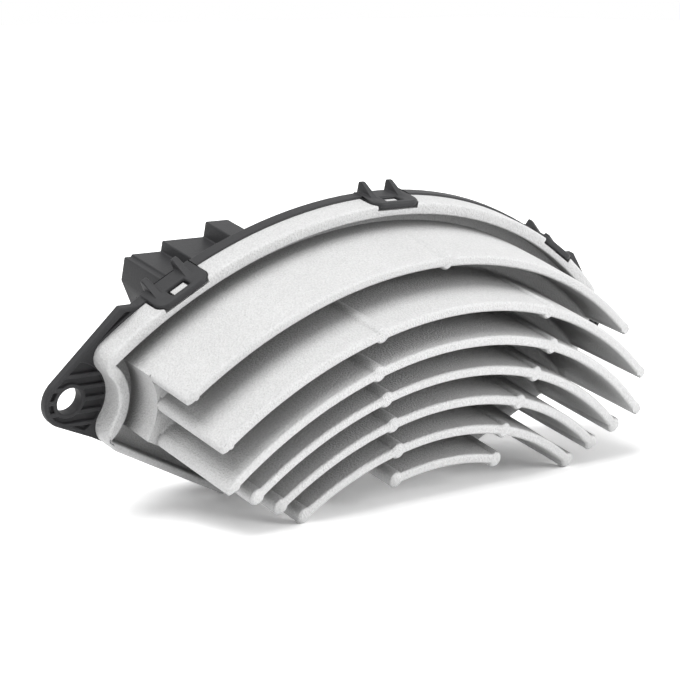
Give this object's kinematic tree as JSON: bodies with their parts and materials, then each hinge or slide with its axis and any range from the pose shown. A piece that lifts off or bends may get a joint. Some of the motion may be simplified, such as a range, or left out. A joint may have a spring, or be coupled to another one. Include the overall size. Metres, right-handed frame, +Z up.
{
  "type": "blower motor resistor",
  "caption": "Arch-shaped blower motor regulator: a finned die-cast heat sink latched to a black plastic housing with screw ears and a connector socket.",
  "frame": {"origin": "midway between the two ear holes, on the front seating face of the ears", "axes": "+X along the part, from the end with the socket to the other end; -Y the way the fins point; +Z up the arch"},
  "size_m": [0.1322, 0.0415, 0.0538],
  "materials": {
    "cast_aluminium": "blasted die casting",
    "black_plastic": "fine-grained moulding",
    "board_laminate": "green solder mask",
    "chip_plastic": "moulded epoxy",
    "insulating_pad": "matt silicone",
    "plated_steel": "zinc plated",
    "tinned_brass": "tin plated",
    "capacitor_can": "bare can",
    "resistance_strip": "rolled strip",
    "fuse_sleeve": "matt sleeve",
    "ceramic": "fired ceramic"
  },
  "bodies": {
    "root": {"heat_sink": "cast_aluminium", "housing": "black_plastic", "circuit_board": "board_laminate", "power_transistor_left": "chip_plastic", "power_transistor_right": "chip_plastic", "insulating_pad_left": "insulating_pad", "insulating_pad_right": "insulating_pad", "transistor_clamp": "plated_steel", "clamp_screw": "plated_steel", "board_screws": "plated_steel", "supply_blade": "tinned_brass", "motor_blade": "tinned_brass", "ground_pin": "tinned_brass", "signal_pin": "tinned_brass", "smoothing_capacitor": "capacitor_can", "sense_resistor": "resistance_strip", "control_chip": "chip_plastic", "driver_chip": "chip_plastic", "suppressor_diode": "chip_plastic", "thermal_fuse": "fuse_sleeve", "ceramic_capacitors": "ceramic", "chip_resistors": "chip_plastic"}
  },
  "joints": []
}
